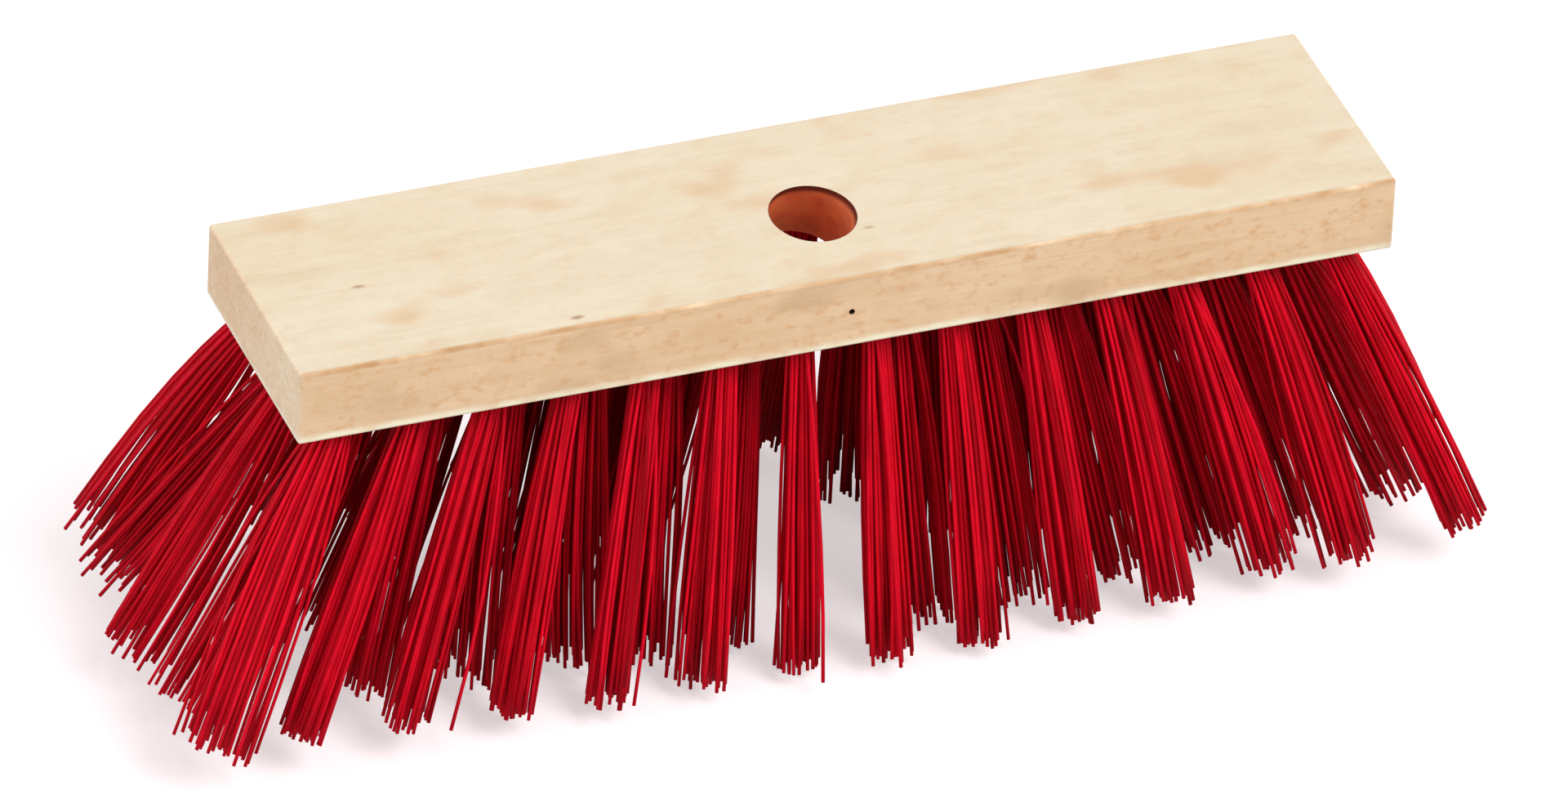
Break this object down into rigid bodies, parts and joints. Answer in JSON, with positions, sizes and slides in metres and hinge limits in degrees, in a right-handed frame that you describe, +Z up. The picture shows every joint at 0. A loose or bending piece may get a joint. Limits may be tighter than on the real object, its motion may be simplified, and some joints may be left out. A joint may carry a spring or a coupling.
{
  "type": "push broom head",
  "caption": "Push broom head: flat wooden block with a tilted handle bore and fanned rows of stapled red plastic bristle tufts.",
  "frame": {"origin": "on the ground that the bristle tips stand on, under the middle of the block", "axes": "+X along the block, -Y to the front, the side that the handle leans to, +Z up through the block's top face"},
  "size_m": [0.3884, 0.1218, 0.1215],
  "materials": {
    "wood": "raw planed",
    "bristle": "satin extruded filament",
    "anchor_wire": "drawn flat wire"
  },
  "bodies": {
    "root": {"anchors_back_row": "anchor_wire", "anchors_fourth_row": "anchor_wire", "anchors_front_row": "anchor_wire", "anchors_middle_row": "anchor_wire", "anchors_second_row": "anchor_wire", "tuft_back_01": "bristle", "tuft_back_02": "bristle", "tuft_back_03": "bristle", "tuft_back_04": "bristle", "tuft_back_05": "bristle", "tuft_back_06": "bristle", "tuft_back_07": "bristle", "tuft_back_08": "bristle", "tuft_back_09": "bristle", "tuft_back_10": "bristle", "tuft_back_11": "bristle", "tuft_back_12": "bristle", "tuft_back_13": "bristle", "tuft_back_14": "bristle", "tuft_fourth_01_02": "bristle", "tuft_fourth_03_04": "bristle", "tuft_fourth_05_06": "bristle", "tuft_fourth_07_08": "bristle", "tuft_fourth_09_10": "bristle", "tuft_fourth_11_12": "bristle", "tuft_front_01": "bristle", "tuft_front_02": "bristle", "tuft_front_03": "bristle", "tuft_front_04": "bristle", "tuft_front_05": "bristle", "tuft_front_06": "bristle", "tuft_front_07": "bristle", "tuft_front_08": "bristle", "tuft_front_09": "bristle", "tuft_front_10": "bristle", "tuft_front_11": "bristle", "tuft_front_12": "bristle", "tuft_front_13": "bristle", "tuft_front_14": "bristle", "tuft_middle_01": "bristle", "tuft_middle_02": "bristle", "tuft_middle_03": "bristle", "tuft_middle_04": "bristle", "tuft_middle_05": "bristle", "tuft_middle_06": "bristle", "tuft_middle_07": "bristle", "tuft_middle_08": "bristle", "tuft_middle_09": "bristle", "tuft_middle_10": "bristle", "tuft_middle_11": "bristle", "tuft_middle_12": "bristle", "tuft_second_01_02": "bristle", "tuft_second_03_04": "bristle", "tuft_second_05_06": "bristle", "tuft_second_07_08": "bristle", "tuft_second_09_10": "bristle", "tuft_second_11_12": "bristle", "wooden_block": "wood"}
  },
  "joints": []
}
